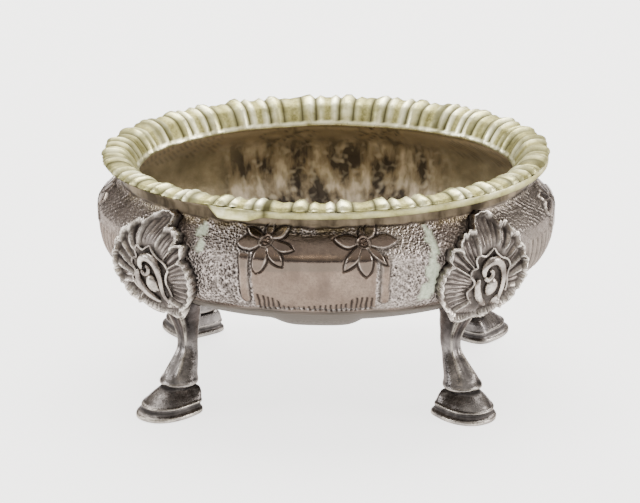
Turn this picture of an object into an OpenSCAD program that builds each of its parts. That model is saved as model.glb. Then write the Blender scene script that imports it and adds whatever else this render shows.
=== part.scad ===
// Oval salt cellar: a raised bowl with a gadroon border, on four cabriole legs with shell knees and hoof feet.
// Millimetres, +Z up, X along the oval. The origin is on the table, under the middle of the bowl.

/* [Bowl] */
// Length of the bowl at its belly
bowl_l = 82; // [70:0.5:110]
// Width of the bowl at its belly
bowl_w = 64; // [58:0.5:90]
// Gauge of the raised sheet
bowl_wall = 0.9; // [0.6:0.05:1.3]
// Height of the underside of the bowl above the table
base_z = 16.6; // [14:0.1:22]
// Height of the belly, the widest line
belly_z = 32.5; // [29:0.1:36]
// Height of the neck under the rim
neck_z = 38.6; // [37.5:0.1:40]
// How far the neck stands inside the edge of the border
neck_inset = 3.6; // [3:0.1:4.6]
// Squareness of the lower bowl, where 2 is an ellipse
belly_power = 3.1; // [2.2:0.1:3.6]
// Swelling of the plain panel low on each long side
panel_swell = 1.9; // [0:0.1:2.4]
// Width of that swelling
panel_w = 15.4; // [12:0.2:26]

/* [Rim] */
// Height of the seat of the border
rim_z = 41.9; // [41:0.1:44]
// Length over the border
rim_l = 80.8; // [79:0.2:110]
// Width over the border
rim_w = 63; // [61.5:0.2:90]
// Height of the smooth band under the border
band_h = 1.65; // [0.8:0.05:2]
// Thickness of the band
band_t = 0.9; // [0.5:0.05:1.3]
// How far the band stands inside the edge of the border
band_inset = 0.35; // [0.1:0.05:0.6]
// Width of the turned-out edge of the bowl on which the border is seated
seat_w = 1.5; // [1:0.1:1.8]

/* [Gadroon border] */
// Number of lobes round the border
lobe_count = 34; // [24:1:44]
// How far the crown stands above the seat
crown_h = 1.45; // [1:0.05:2]
// Thickness of the turned-down inner part
border_t = 0.75; // [0.5:0.05:1]
// How far the inner edge hangs below the seat
border_drop = 3.2; // [2:0.1:3.8]
// How far the inner edge stands inside the wall of the neck
border_in = 2.4; // [1.8:0.1:3.4]
// Depth of the flutes between the lobes
flute_h = 0.9; // [0.2:0.05:1]
// Scallop of the outer edge
scallop_h = 0.5; // [0:0.05:0.6]

/* [Knee shells] */
// Place of each knee round the oval, in degrees of the bowl's own angle
knee_turn = 45.5; // [40:0.5:50]
// Half width of a shell
shell_half_w = 9.6; // [7:0.1:11]
// How far a shell reaches below the belly
shell_drop = 12; // [11:0.1:13]
// How far the tip of the top lobe stays under the neck
shell_tip_gap = 0.5; // [0.2:0.1:1.5]
// Thickness of a shell between its ribs
shell_t = 0.6; // [0.4:0.05:0.9]
// Rise of the ribs at the edge of a shell
rib_h = 0.9; // [0.4:0.05:1.4]
// Depth of the notches between the lobes of the edge
notch_h = 1; // [0.4:0.1:1.6]

/* [Knee scrolls] */
// Width of a scroll
scroll_w = 5.2; // [4:0.1:6]
// Height of a scroll
scroll_l = 8.8; // [7:0.1:9.6]
// Rise of the rolled edge of a scroll
scroll_h = 1.5; // [0.8:0.1:2.2]
// Rise of the polished boss in a scroll
boss_h = 1.7; // [0.8:0.1:2.4]
// Height of the middle of the scroll below the belly
scroll_down = 6.2; // [5.6:0.1:6.8]

/* [Legs and hoofs] */
// How far the middle of a sole stands inside the belly
foot_inset = 4.4; // [3:0.1:6]
// Backward bow of the shaft
leg_bow = 4.6; // [2:0.1:6]
// Width of the shaft at its thinnest
shaft_w = 4.2; // [3.2:0.1:5.5]
// Width of the leg under the bowl
knee_w = 6.6; // [5:0.1:7.6]
// Height of the hoof with its pastern
hoof_h = 4.6; // [3.6:0.1:6]
// Length of the sole
sole_l = 11.8; // [10:0.1:15]
// Width of the sole
sole_w = 10.6; // [8.5:0.1:12.5]
// Thickness of the sole plate
sole_t = 0.9; // [0.5:0.05:1.3]

/* [Joints] */
// Thickness of the solder between two pieces
solder_gap = 0.06; // [0.02:0.01:0.15]

/* [Hidden] */

half_l = bowl_l / 2;
half_w = bowl_w / 2;
belly_drop = belly_z - base_z;
neck_rise = neck_z - belly_z;
flange_inset = band_inset + band_t + solder_gap;
neck_half_l = rim_l / 2 - neck_inset;
neck_half_w = rim_w / 2 - neck_inset;
inner_edge_l = neck_half_l - bowl_wall - border_in;
inner_edge_w = neck_half_w - bowl_wall - border_in;
dark_silver = [0.44, 0.40, 0.41];
leg_silver = [0.33, 0.32, 0.33];
worn_gilt = [0.74, 0.72, 0.55];

round_steps = 80;
low_steps = 11;
shoulder_steps = 5;
flare_steps = 3;
lobe_steps = 6;
shell_steps = 88;
scroll_steps = 36;
leg_sides = 16;

// Angles of the four knees round the bowl: front left, front right, rear left, rear right
knee_angles = [180 + knee_turn, 360 - knee_turn, 180 - knee_turn, knee_turn];

function clamp01(v) = max(0, min(1, v));
function smooth(v) = let (c = clamp01(v)) c * c * (3 - 2 * c);
function bell(v) = abs(v) >= 1 ? 0 : pow(cos(90 * v), 2);
function signed_pow(v, e) = sign(v) * pow(abs(v), e);
function unit(v) = v / norm(v);

// Faces of a closed skin through equal rings, with one point at each end
function skin_faces(rings, n) = concat(
  [for (i = [0:n - 1]) [0, 1 + i, 1 + (i + 1) % n]],
  [for (r = [0:rings - 2], i = [0:n - 1], half = [0, 1])
    let (
      a = 1 + r * n + i,
      b = 1 + r * n + (i + 1) % n,
      c = b + n,
      d = a + n
    )
    half == 0 ? [a, c, b] : [a, d, c]],
  [for (i = [0:n - 1])
    let (last = 1 + rings * n, base = 1 + (rings - 1) * n)
    [last, base + (i + 1) % n, base + i]]
);

module skin(first, rings, last) {
  points = concat([first], [for (ring = rings) each ring], [last]);
  polyhedron(points = points, faces = skin_faces(len(rings), len(rings[0])), convexity = 8);
}

// Half length, half width and height of the outer wall below the belly, by the slope angle seen from the belly
function low_row(slope, wall) =
  let (
    a = half_l - wall,
    drop = belly_drop - wall,
    reach = pow(pow(cos(slope) / a, belly_power) + pow(sin(slope) / drop, belly_power), -1 / belly_power),
    part = reach * cos(slope) / a
  )
  [a * part, (half_w - wall) * part, belly_z - reach * sin(slope)];

// Share of the way in from the belly to the neck at a height on the shoulder
function shoulder_share(z) = (1 - cos(180 * clamp01((z - belly_z) / neck_rise))) / 2;

function shoulder_row(z, wall) =
  let (in = shoulder_share(z))
  [
    half_l + (neck_half_l - half_l) * in - wall,
    half_w + (neck_half_w - half_w) * in - wall,
    z
  ];

// The flare from the neck to the turned-out edge, outside and inside
function flare_row(turn, wall) =
  let (
    inside = wall > 0,
    edge_inset = flange_inset + (inside ? seat_w : 0),
    top = inside ? rim_z : rim_z - bowl_wall,
    out = 1 - cos(turn),
    from_l = neck_half_l - wall,
    from_w = neck_half_w - wall
  )
  [
    from_l + (rim_l / 2 - edge_inset - from_l) * out,
    from_w + (rim_w / 2 - edge_inset - from_w) * out,
    neck_z + (top - neck_z) * sin(turn)
  ];

// Swelling of the two plain panels, widest where the long sides turn under
panel_middle_share = 0.58;
panel_reach_share = 0.42;
function panel_rise(p) =
  let (low = 1 - smooth((p[2] - base_z) / belly_drop))
  panel_swell * sqrt(bell(2 * p[0] / panel_w)) * low
    * bell((abs(p[1]) / half_w - panel_middle_share) / panel_reach_share);

function ring_points(row, n) =
  [for (i = [0:n - 1])
    let (
      t = 360 * i / n,
      p = [row[0] * cos(t), row[1] * sin(t), row[2]],
      rise = panel_rise(p),
      outward = pow(clamp01(abs(p[1]) / half_w), 2)
    )
    p + rise * [0, sign(p[1]) * outward, outward - 1]];

module bowl() {
  low_slopes = [for (k = [1:low_steps]) 90 * pow(1 - k / low_steps, 1.15)];
  outer = concat(
    [for (slope = low_slopes) low_row(slope, 0)],
    [for (k = [1:shoulder_steps]) shoulder_row(belly_z + neck_rise * k / shoulder_steps, 0)],
    [for (k = [1:flare_steps]) flare_row(90 * k / flare_steps, 0)],
    [[rim_l / 2 - flange_inset, rim_w / 2 - flange_inset, rim_z]]
  );
  inner = concat(
    [for (k = [1:flare_steps]) flare_row(90 * (1 - (k - 1) / flare_steps), bowl_wall)],
    [for (k = [0:shoulder_steps]) shoulder_row(neck_z - neck_rise * k / shoulder_steps, bowl_wall)],
    [for (k = [2:low_steps]) low_row(low_slopes[low_steps - k], bowl_wall)]
  );
  color(dark_silver)
    skin(
      [0, 0, base_z],
      [for (row = concat(outer, inner)) ring_points(row, round_steps)],
      [0, 0, base_z + bowl_wall]
    );
}

module oval_plate(a, b) {
  polygon([for (i = [0:round_steps - 1]) [a * cos(360 * i / round_steps), b * sin(360 * i / round_steps)]]);
}

module rim_band() {
  color(worn_gilt)
    translate([0, 0, rim_z - band_h])
      linear_extrude(height = band_h - solder_gap)
        difference() {
          oval_plate(rim_l / 2 - band_inset, rim_w / 2 - band_inset);
          oval_plate(rim_l / 2 - band_inset - band_t, rim_w / 2 - band_inset - band_t);
        }
}

// Section of the border: share of the way in from the outer edge, share of the crown or of the drop, flute share
border_top_shares = [
  [0, 0.06, 0.35],
  [0.035, 0.5, 0.8],
  [0.2, 0.86, 1],
  [0.42, 1, 1],
  [0.62, 0.8, 1],
  [0.78, 0.2, 0.9],
  [0.9, -0.45, 0.6],
  [0.97, -0.85, 0.35]
];
border_under_shares = [
  [0.99, -1],
  [0.93, -0.75],
  [0.8, -0.35]
];

// Height of the lobed surface along the border, 1 on a lobe and 0 in a groove
function lobe_wave(turn) =
  let (f = turn * lobe_count / 360, at = f - floor(f))
  at < 0.4 ? pow(sin(180 * at / 0.4), 0.8) : 0.42 * pow(sin(180 * (at - 0.4) / 0.6), 0.6);

function border_point(t, share, z, push) =
  let (
    a = rim_l / 2 + (inner_edge_l - rim_l / 2) * share,
    b = rim_w / 2 + (inner_edge_w - rim_w / 2) * share,
    out = unit([cos(t) / a, sin(t) / b, 0])
  )
  [a * cos(t), b * sin(t), z] + out * push;

function border_ring(turn) =
  let (wave = lobe_wave(turn))
  concat(
    [for (s = border_top_shares)
      let (
        top = s[1] > 0 ? rim_z + crown_h * s[1] : rim_z + border_drop * s[1],
        sink = flute_h * s[2] * (1 - wave),
        steep = smooth((s[0] - 0.42) / 0.45)
      )
      border_point(turn, s[0], top - sink * (1 - steep) * (s[1] > 0.1 ? 1 : 0),
        sink * steep - (s[0] < 0.1 ? scallop_h * (1 - wave) * (1 - s[0] * 5) : 0))],
    [for (s = border_under_shares) border_point(turn, s[0], rim_z + border_drop * s[1], border_t * 0.9)],
    [border_point(turn, 0.56, rim_z, 0)]
  );

module gadroon_border() {
  around = lobe_count * lobe_steps;
  rings = [for (i = [0:around - 1]) border_ring(360 * i / around)];
  n = len(rings[0]);
  points = [for (ring = rings) each ring];
  faces = [for (r = [0:around - 1], i = [0:n - 1], half = [0, 1])
    let (
      next = (r + 1) % around,
      a = r * n + i,
      b = r * n + (i + 1) % n,
      c = next * n + (i + 1) % n,
      d = next * n + i
    )
    half == 0 ? [a, b, c] : [a, c, d]];
  color(worn_gilt)
    polyhedron(points = points, faces = faces, convexity = 8);
}

// A point of the bowl's outer wall near a knee: p mm round the wall, q mm up from the belly, h mm off the wall
function wall_point(knee, p, q, h) =
  let (
    around = norm([half_l * sin(knee), half_w * cos(knee)]),
    t = knee + p / around * 180 / PI,
    deep = norm([half_l * cos(knee), half_w * sin(knee)]),
    low = low_row(max(0, -q) / deep * 180 / PI, 0),
    row = q < 0 ? low : shoulder_row(belly_z + q, 0),
    at = [row[0] * cos(t), row[1] * sin(t), row[2]]
  )
  at + h * wall_normal(at, t);

function wall_normal(at, t) =
  let (
    low = at[2] < belly_z,
    part = norm([at[0] / half_l, at[1] / half_w]),
    fall = low ? pow((belly_z - at[2]) / belly_drop, belly_power - 1) / belly_drop : 0,
    keep = low ? pow(part, belly_power - 2) : 1,
    flat = [cos(t) / half_l, sin(t) / half_w, 0],
    neck_in = norm([(half_l - neck_half_l) * cos(t), (half_w - neck_half_w) * sin(t)]),
    climb = neck_in * PI / 2 / neck_rise * sin(180 * clamp01((at[2] - belly_z) / neck_rise))
  )
  low
    ? unit([keep * at[0] / pow(half_l, 2), keep * at[1] / pow(half_w, 2), -fall])
    : unit(unit(flat) + [0, 0, climb]);

// Height of the bowl's underside over a place on the table
function under_z(x, y) =
  belly_z - belly_drop * pow(max(0, 1 - pow(norm([x / half_l, y / half_w]), belly_power)), 1 / belly_power);

// The shell's top and bottom, from the belly
shell_top = neck_rise - shell_tip_gap;
// Pleats of a shell: its middle one is straight up, and this many more stand on each side of it
side_pleats = 5;
top_pleat_turn = 15;
side_pleat_turn = (180 - top_pleat_turn) / side_pleats;
// How much shorter the pleats beside the top one are, and the turn over which that fades
beside_top_share = 0.13;
beside_fade_turn = 40;

function shell_reach(turn) =
  let (
    from_top = turn > 180 ? 360 - turn : turn,
    beside = smooth((from_top - top_pleat_turn) / 4) * (1 - smooth((from_top - beside_fade_turn) / beside_fade_turn)),
    up = cos(turn),
    side = abs(sin(turn)),
    high = shell_top + scroll_down,
    low = shell_drop - scroll_down,
    tall = up > 0 ? high : low
  )
  (1 - beside_top_share * beside)
    / pow(pow(abs(up) / tall, 2.3) + pow(side / shell_half_w, 2.3), 1 / 2.3);

function shell_notch(turn) = pow(abs(sin(180 * shell_phase(turn))), 0.55);
function shell_phase(turn) =
  let (from_top = turn > 180 ? 360 - turn : turn)
  from_top < top_pleat_turn
    ? 0.5 + from_top / (2 * top_pleat_turn)
    : (from_top - top_pleat_turn) / side_pleat_turn;

function shell_height(turn, share, p, q) =
  let (
    clear = norm([p / (scroll_w * 0.62), q / (scroll_l * 0.58)]),
    grow = smooth((clear - 1) / 0.6)
  )
  shell_t + rib_h * grow * (0.25 + 0.75 * shell_notch(turn)) * (share > 0.97 ? 0.45 : 1);

module shell(knee) {
  front_shares = [1, 0.93, 0.78, 0.6, 0.42, 0.22];
  back_shares = [1, 0.66, 0.33];
  turns = [for (i = [0:shell_steps - 1]) 360 * i / shell_steps];
  reach = [for (turn = turns) shell_reach(turn) - notch_h * (1 - shell_notch(turn))];
  back = [for (k = [len(back_shares) - 1:-1:0])
    [for (i = [0:shell_steps - 1])
      wall_point(knee, reach[i] * back_shares[k] * sin(turns[i]),
        reach[i] * back_shares[k] * cos(turns[i]) - scroll_down, solder_gap)]];
  front = [for (share = front_shares)
    [for (i = [0:shell_steps - 1])
      let (p = reach[i] * share * sin(turns[i]), q = reach[i] * share * cos(turns[i]))
      wall_point(knee, p, q - scroll_down, solder_gap + shell_height(turns[i], share, p, q))]];
  color(dark_silver)
    skin(
      wall_point(knee, 0, -scroll_down, solder_gap),
      concat(back, front),
      wall_point(knee, 0, -scroll_down, solder_gap + shell_t)
    );
}

module scroll(knee) {
  // Places across the scroll as shares of its half width, with shares of the rise there
  section_shares = [[1, 0.2], [0.93, 0.75], [0.78, 1], [0.63, 0.7], [0.55, 0.3], [0.42, 0.55], [0.22, 0.95]];
  seat = shell_t + 2 * solder_gap;
  turns = [for (i = [0:scroll_steps - 1]) 360 * i / scroll_steps];
  back = [for (share = [0.5, 1])
    [for (turn = turns)
      wall_point(knee, scroll_w / 2 * share * sin(turn), scroll_l / 2 * share * cos(turn) - scroll_down, seat)]];
  front = [for (s = section_shares)
    [for (turn = turns)
      let (
        open = s[0] > 0.5 ? 1 - 0.55 * bell((turn - 315) / 40) : 1,
        rise = s[0] > 0.5 ? scroll_h * s[1] * open : boss_h * s[1]
      )
      wall_point(knee, scroll_w / 2 * s[0] * sin(turn), scroll_l / 2 * s[0] * cos(turn) - scroll_down, seat + rise)]];
  color(dark_silver)
    skin(
      wall_point(knee, 0, -scroll_down, seat),
      concat(back, front),
      wall_point(knee, 0, -scroll_down, seat + boss_h)
    );
}

// Rows of the shaft: height share above the hoof, bow share, thickness share, width share, share of the knee's width
shaft_shares = [
  [0.02, 0.22, 1.4, 1.46, 0],
  [0.05, 0.24, 1.6, 1.66, 0],
  [0.11, 0.32, 1.62, 1.66, 0],
  [0.18, 0.5, 1.42, 1.46, 0],
  [0.26, 0.7, 1.16, 1.18, 0],
  [0.36, 0.9, 1, 1.02, 0],
  [0.48, 1, 0.98, 0.98, 0.03],
  [0.62, 0.97, 0.98, 1, 0.18],
  [0.78, 0.82, 0.95, 1, 0.5],
  [0.9, 0.68, 0.96, 1, 0.8]
];
// Rows of the hoof over its plate: height share, share of the bow, share of the sole's length, share of its width
hoof_shares = [
  [0, 0, 0.92, 0.9],
  [0.09, 0, 0.92, 0.91],
  [0.19, 0.02, 0.82, 0.82],
  [0.35, 0.03, 0.81, 0.81],
  [0.45, 0.06, 0.69, 0.72],
  [0.62, 0.1, 0.66, 0.7],
  [0.8, 0.14, 0.52, 0.6],
  [0.95, 0.2, 0.42, 0.52]
];
// Share of the sole behind the middle of the foot, and the squareness of its flat heel
heel_share = 0.36;
heel_power = 0.25;
toe_power = 0.9;

function foot_point(knee) =
  let (out = unit([cos(knee) / half_l, sin(knee) / half_w, 0]))
  [half_l * cos(knee), half_w * sin(knee), 0] - foot_inset * out;

function hoof_outline(length, width) =
  [for (i = [0:leg_sides - 1])
    let (
      turn = 360 * i / leg_sides,
      toe = cos(turn) > 0,
      part = toe ? 1 - heel_share : heel_share,
      power = toe ? toe_power : heel_power
    )
    [length * part * signed_pow(cos(turn), power), width / 2 * signed_pow(sin(turn), power)]];

module leg(knee) {
  out = unit([cos(knee) / half_l, sin(knee) / half_w, 0]);
  side = [-out[1], out[0], 0];
  foot = foot_point(knee);
  shell_end = wall_point(knee, 0, -shell_drop, 0) - foot;
  top_u = shell_end * out - solder_gap - knee_w / 2;
  top_at = foot + out * top_u;
  knee_z = under_z(top_at[0], top_at[1]);
  hoof_rings = [for (s = hoof_shares)
    [for (p = hoof_outline(sole_l * s[2], sole_w * s[3]))
      [p[0] - leg_bow * s[1], p[1], sole_t + (hoof_h - sole_t) * s[0]]]];
  shaft_rings = [for (s = shaft_shares)
    [for (i = [0:leg_sides - 1])
      let (
        turn = 360 * i / leg_sides,
        full_w = shaft_w + (knee_w - shaft_w) * s[4]
      )
      [full_w / 2 * s[2] * cos(turn) - leg_bow * s[1], full_w / 2 * s[3] * sin(turn),
        hoof_h + (knee_z - hoof_h) * s[0]]]];
  top_ring = [for (i = [0:leg_sides - 1])
    let (
      turn = 360 * i / leg_sides,
      u = top_u + knee_w / 2 * cos(turn),
      v = knee_w / 2 * sin(turn),
      at = foot + out * u + side * v
    )
    [u, v, under_z(at[0], at[1]) - solder_gap]];
  rings = concat(hoof_rings, shaft_rings, [top_ring]);
  color(leg_silver)
    translate(foot)
      rotate([0, 0, atan2(out[1], out[0])]) {
        linear_extrude(height = sole_t)
          polygon(hoof_outline(sole_l, sole_w));
        skin([0, 0, sole_t], rings, [top_u, 0, knee_z - solder_gap]);
      }
}

module leg_front_left() {
  leg(knee_angles[0]);
}

module leg_front_right() {
  leg(knee_angles[1]);
}

module leg_rear_left() {
  leg(knee_angles[2]);
}

module leg_rear_right() {
  leg(knee_angles[3]);
}

module knee_shell_front_left() {
  shell(knee_angles[0]);
}

module knee_shell_front_right() {
  shell(knee_angles[1]);
}

module knee_shell_rear_left() {
  shell(knee_angles[2]);
}

module knee_shell_rear_right() {
  shell(knee_angles[3]);
}

module knee_scroll_front_left() {
  scroll(knee_angles[0]);
}

module knee_scroll_front_right() {
  scroll(knee_angles[1]);
}

module knee_scroll_rear_left() {
  scroll(knee_angles[2]);
}

module knee_scroll_rear_right() {
  scroll(knee_angles[3]);
}

bowl();
rim_band();
gadroon_border();
leg_front_left();
leg_front_right();
leg_rear_left();
leg_rear_right();
knee_shell_front_left();
knee_shell_front_right();
knee_shell_rear_left();
knee_shell_rear_right();
knee_scroll_front_left();
knee_scroll_front_right();
knee_scroll_rear_left();
knee_scroll_rear_right();
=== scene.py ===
import bpy
import math
import numpy as np
from mathutils import Matrix, Vector


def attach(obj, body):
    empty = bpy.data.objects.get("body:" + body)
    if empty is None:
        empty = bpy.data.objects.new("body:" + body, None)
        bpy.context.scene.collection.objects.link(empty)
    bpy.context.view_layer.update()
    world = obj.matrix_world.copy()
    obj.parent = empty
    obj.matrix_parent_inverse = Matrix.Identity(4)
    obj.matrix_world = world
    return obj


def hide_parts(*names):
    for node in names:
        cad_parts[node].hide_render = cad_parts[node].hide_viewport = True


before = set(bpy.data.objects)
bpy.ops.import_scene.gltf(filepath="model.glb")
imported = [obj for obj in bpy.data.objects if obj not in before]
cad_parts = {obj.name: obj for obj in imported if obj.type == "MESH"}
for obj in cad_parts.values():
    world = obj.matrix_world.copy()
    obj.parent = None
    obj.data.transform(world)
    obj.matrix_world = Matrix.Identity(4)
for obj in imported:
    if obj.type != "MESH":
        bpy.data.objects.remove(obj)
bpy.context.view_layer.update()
print("frame loaded:", len(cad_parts), "nodes")

mm = 0.001  # sizes below are in millimetres, meshes are in metres

# Camera, at the photograph's viewing angle
view = {
    "turn": 4.0,        # degrees round to the right of the long side
    "tilt": 20.25,      # degrees down
    "roll": -0.55,
    "distance": 0.897,
    "lens": 279.2,
    "aimX": -0.00115,
    "aimZ": 0.0231,
}


def addCamera(v):
    turn, tilt = math.radians(v["turn"]), math.radians(v["tilt"])
    aim = Vector((v["aimX"], 0, v["aimZ"]))
    away = Vector((math.sin(turn) * math.cos(tilt), -math.cos(turn) * math.cos(tilt), math.sin(tilt)))
    bpy.ops.object.camera_add(location=aim + away * v["distance"])
    camera = bpy.context.object
    look = (-away).to_track_quat("-Z", "Y").to_matrix()
    camera.rotation_euler = (look @ Matrix.Rotation(math.radians(v["roll"]), 3, "Z")).to_euler()
    camera.data.lens = v["lens"]
    camera.data.sensor_fit = "HORIZONTAL"
    camera.data.clip_end = 20
    bpy.context.scene.camera = camera


addCamera(view)

# The bowl's own form, which every soldered piece follows
bowlForm = {
    "halfLength": 41.0, "halfWidth": 32.0, "wall": 0.9,
    "baseZ": 16.6, "bellyZ": 32.5, "neckZ": 38.6, "edgeZ": 41.9,
    "neckHalfLength": 36.8, "neckHalfWidth": 27.9,
    "squareness": 3.1,      # 2 would be a plain ellipse in profile
    "edgeHalfLength": 39.09, "edgeHalfWidth": 30.19, "seat": 1.5,
    "swell": 1.9, "swellWidth": 15.4,
}
rimForm = {"halfLength": 40.4, "halfWidth": 31.5, "seatZ": 41.9}
knees = {"front_left": 225.5, "front_right": 314.5, "rear_left": 134.5, "rear_right": 45.5}


def smooth(v):
    c = np.clip(v, 0, 1)
    return c * c * (3 - 2 * c)


def bell(v):
    return np.where(np.abs(v) < 1, np.cos(np.pi / 2 * np.clip(v, -1, 1)) ** 2, 0)


def lowRow(slope, wall):
    # half length, half width and height below the belly, by the slope angle
    s = bowlForm
    a, drop = s["halfLength"] - wall, s["bellyZ"] - s["baseZ"] - wall
    reach = ((np.cos(slope) / a) ** s["squareness"] + (np.sin(slope) / drop) ** s["squareness"])
    reach = reach ** (-1 / s["squareness"])
    part = reach * np.cos(slope) / a
    return a * part, (s["halfWidth"] - wall) * part, s["bellyZ"] - reach * np.sin(slope)


def shoulderRow(z, wall):
    s = bowlForm
    inward = (1 - np.cos(np.pi * np.clip((z - s["bellyZ"]) / (s["neckZ"] - s["bellyZ"]), 0, 1))) / 2
    return (s["halfLength"] + (s["neckHalfLength"] - s["halfLength"]) * inward - wall,
            s["halfWidth"] + (s["neckHalfWidth"] - s["halfWidth"]) * inward - wall, z)


def flareRow(turn, wall):
    s = bowlForm
    seat = s["seat"] if wall else 0
    top = s["edgeZ"] - (0 if wall else s["wall"])
    out = 1 - np.cos(turn)
    fromL, fromW = s["neckHalfLength"] - wall, s["neckHalfWidth"] - wall
    return (fromL + (s["edgeHalfLength"] - seat - fromL) * out,
            fromW + (s["edgeHalfWidth"] - seat - fromW) * out,
            s["neckZ"] + (top - s["neckZ"]) * np.sin(turn))


def wallPoint(knee, p, q, h):
    # a place near a knee: p round the wall, q up from the belly, h off the wall, all in millimetres
    s = bowlForm
    k = math.radians(knee)
    around = math.hypot(s["halfLength"] * math.sin(k), s["halfWidth"] * math.cos(k))
    deep = math.hypot(s["halfLength"] * math.cos(k), s["halfWidth"] * math.sin(k))
    p, q, h = np.broadcast_arrays(np.asarray(p, float), q, h)
    t = k + p / around
    slope = np.clip(-q / deep, 0, math.pi / 2)
    under = q < 0
    low, up = lowRow(slope, 0), shoulderRow(s["bellyZ"] + np.maximum(q, 0), 0)
    a, b, z = (np.where(under, x, y) for x, y in zip(low, up))
    at = np.stack([a * np.cos(t), b * np.sin(t), z], -1)
    drop = s["bellyZ"] - s["baseZ"]
    part = np.hypot(at[..., 0] / s["halfLength"], at[..., 1] / s["halfWidth"])
    keep = np.where(under, part ** (s["squareness"] - 2), 1)
    fall = np.where(under, np.clip((s["bellyZ"] - z) / drop, 0, 1) ** (s["squareness"] - 1) / drop, 0)
    flat = np.stack([np.cos(t) / s["halfLength"], np.sin(t) / s["halfWidth"], 0 * t], -1)
    shoulder = s["neckZ"] - s["bellyZ"]
    climb = (s["halfWidth"] - s["neckHalfWidth"]) * np.pi / 2 / shoulder
    climb = climb * np.sin(np.pi * np.clip((z - s["bellyZ"]) / shoulder, 0, 1))
    lowNormal = np.stack([keep * at[..., 0] / s["halfLength"] ** 2,
                          keep * at[..., 1] / s["halfWidth"] ** 2, -fall], -1)
    upNormal = flat / np.linalg.norm(flat, axis=-1, keepdims=True)
    upNormal = upNormal + np.stack([0 * t, 0 * t, climb], -1)
    normal = np.where(under[..., None], lowNormal, upNormal)
    normal = normal / np.linalg.norm(normal, axis=-1, keepdims=True)
    return at + h[..., None] * normal, normal


def ripple(points, size, seed):
    # soft unevenness of handwork, about -1 to 1, with bumps of the given size
    rng = np.random.default_rng(seed)
    total = 0
    for _ in range(7):
        way = rng.normal(size=3)
        way = way / np.linalg.norm(way) * 2 * np.pi / size * rng.uniform(0.6, 1.5)
        total = total + np.sin(points @ way + rng.uniform(0, 6.28))
    return total / 3.2


# Mesh work shared by all pieces
def readPoints(piece):
    flat = np.empty(len(piece.data.vertices) * 3)
    piece.data.vertices.foreach_get("co", flat)
    return flat.reshape(-1, 3)


def writePoints(piece, points):
    piece.data.vertices.foreach_set("co", np.ascontiguousarray(points * mm).ravel())
    piece.data.update()


def paint(piece, name, values):
    layer = piece.data.attributes.new(name, "FLOAT", "POINT")
    layer.data.foreach_set("value", np.clip(values, 0, 1).astype(np.float32))


def named(name):
    piece = bpy.context.object
    piece.name = piece.data.name = name
    return piece


def selectOnly(*pieces):
    bpy.ops.object.select_all(action="DESELECT")
    for piece in pieces:
        piece.select_set(True)
    bpy.context.view_layer.objects.active = pieces[0]


def addBall(name, around, along):
    # a round start whose rings run from pole to pole, shaped afterwards
    bpy.ops.object.select_all(action="DESELECT")
    bpy.ops.mesh.primitive_uv_sphere_add(segments=around, ring_count=along, radius=1)
    return named(name)


def ballPlace(points, along):
    # turn round the ball, and the ring number from the lower pole
    turn = np.arctan2(points[:, 1], points[:, 0]) % (2 * np.pi)
    ring = (np.arctan2(points[:, 2], np.hypot(points[:, 0], points[:, 1])) / np.pi + 0.5) * along
    return turn, ring


def addRing(name, around, section):
    bpy.ops.object.select_all(action="DESELECT")
    bpy.ops.mesh.primitive_torus_add(major_segments=around, minor_segments=section,
                                     major_radius=1, minor_radius=0.25)
    return named(name)


def ringPlace(points):
    # turn round the ring, and the share of the way round its section
    turn = np.arctan2(points[:, 1], points[:, 0]) % (2 * np.pi)
    share = np.arctan2(points[:, 2], np.hypot(points[:, 0], points[:, 1]) - 1) / (2 * np.pi) % 1
    return turn, share


def subdivideWhere(piece, chosen):
    selectOnly(piece)
    bpy.context.tool_settings.mesh_select_mode = (False, False, True)
    bpy.ops.object.mode_set(mode="EDIT")
    bpy.ops.mesh.select_all(action="DESELECT")
    bpy.ops.object.mode_set(mode="OBJECT")
    piece.data.polygons.foreach_set("select", chosen)
    bpy.ops.object.mode_set(mode="EDIT")
    bpy.ops.mesh.subdivide(number_cuts=1)
    bpy.ops.object.mode_set(mode="OBJECT")


def finishPiece(piece, slot, nodes):
    selectOnly(piece)
    bpy.ops.object.mode_set(mode="EDIT")
    bpy.ops.mesh.select_all(action="SELECT")
    bpy.ops.mesh.remove_doubles(threshold=0.000002)
    bpy.ops.mesh.normals_make_consistent(inside=False)
    bpy.ops.object.mode_set(mode="OBJECT")
    bpy.ops.object.shade_smooth()
    piece.data.materials.clear()
    piece.data.materials.append(finishes[slot])
    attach(piece, "root")
    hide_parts(*nodes)


def joinPieces(name, parts):
    selectOnly(*parts)
    bpy.ops.object.join()
    return named(name)


def sweep(name, path, radii, up, sides, rings):
    # a closed tube along a path of points, with the way off the wall at each of them
    piece = addBall(name, sides, rings)
    turn, ring = ballPlace(readPoints(piece), rings)
    share = np.linspace(0, 1, len(path))
    dense = np.linspace(0, 1, 241)
    line = np.column_stack([splineThrough(share, path[:, k], dense) for k in range(3)])
    ups = np.column_stack([splineThrough(share, up[:, k], dense) for k in range(3)])
    size = splineThrough(share, np.asarray(radii, float), dense)
    way = np.gradient(line, axis=0)
    way /= np.linalg.norm(way, axis=1, keepdims=True)
    ups = ups - way * np.sum(ups * way, axis=1, keepdims=True)
    ups /= np.linalg.norm(ups, axis=1, keepdims=True)
    side = np.cross(way, ups)
    at = ring / rings
    centre, across, off = (np.column_stack([np.interp(at, dense, table[:, k]) for k in range(3)])
                           for table in (line, side, ups))
    roundEnd = np.sqrt(np.clip(1 - np.abs(2 * at - 1) ** 14, 0, 1))
    radius = np.interp(at, dense, size) * roundEnd
    writePoints(piece, centre + across * (radius * np.cos(turn))[:, None]
                + off * (radius * np.sin(turn))[:, None])
    return piece


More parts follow.
